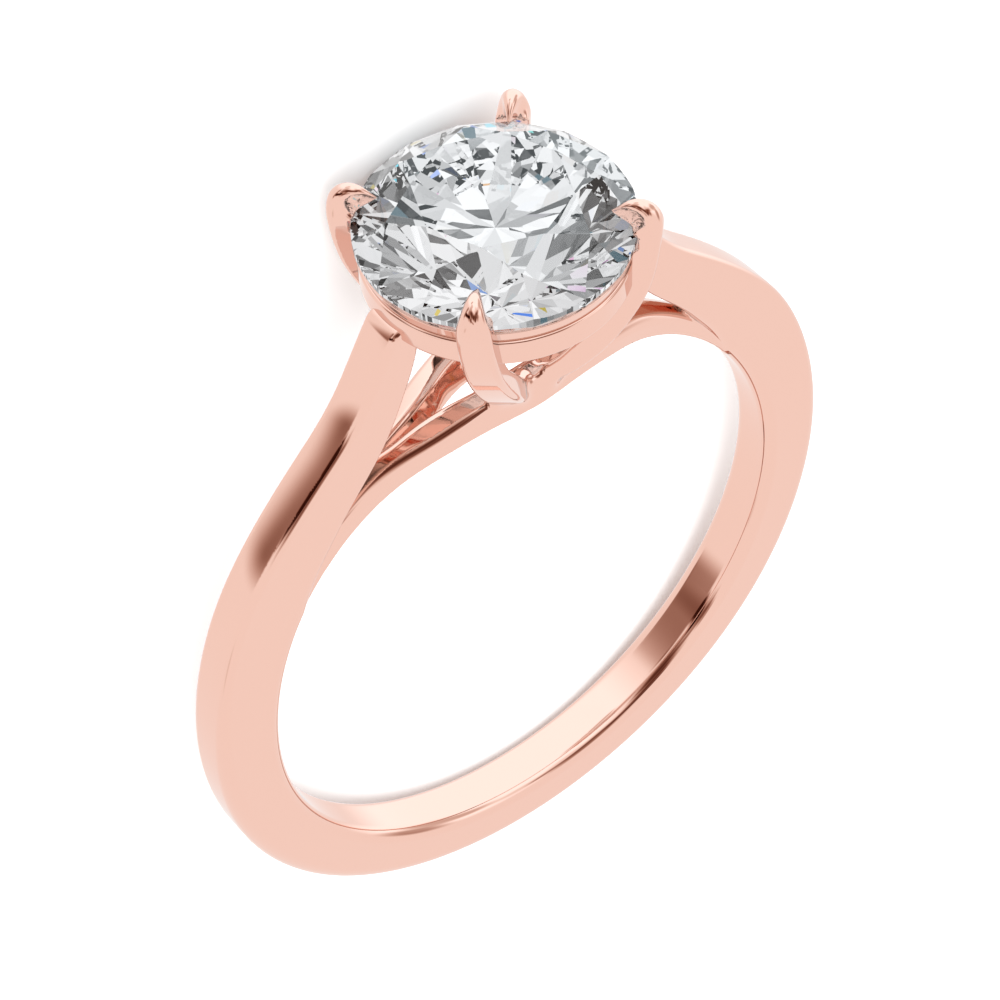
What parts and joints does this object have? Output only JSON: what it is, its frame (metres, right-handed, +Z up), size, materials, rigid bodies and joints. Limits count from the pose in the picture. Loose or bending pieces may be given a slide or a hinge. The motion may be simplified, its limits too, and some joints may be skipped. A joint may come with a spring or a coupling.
{
  "type": "solitaire engagement ring",
  "caption": "Rose gold finger ring that holds one round brilliant cut stone in four pointed claws, raised between two cathedral arms.",
  "frame": {"origin": "on the floor, under the middle of the ring as it lies on its side", "axes": "+X across the finger hole, +Y from the band's base to the stone, +Z up"},
  "size_m": [0.0202, 0.0246, 0.007],
  "materials": {
    "rose_gold": "polished 14 carat rose gold",
    "diamond": "clear, colourless and faceted"
  },
  "bodies": {
    "root": {"ring_mount": "rose_gold", "round_stone": "diamond"}
  },
  "joints": []
}
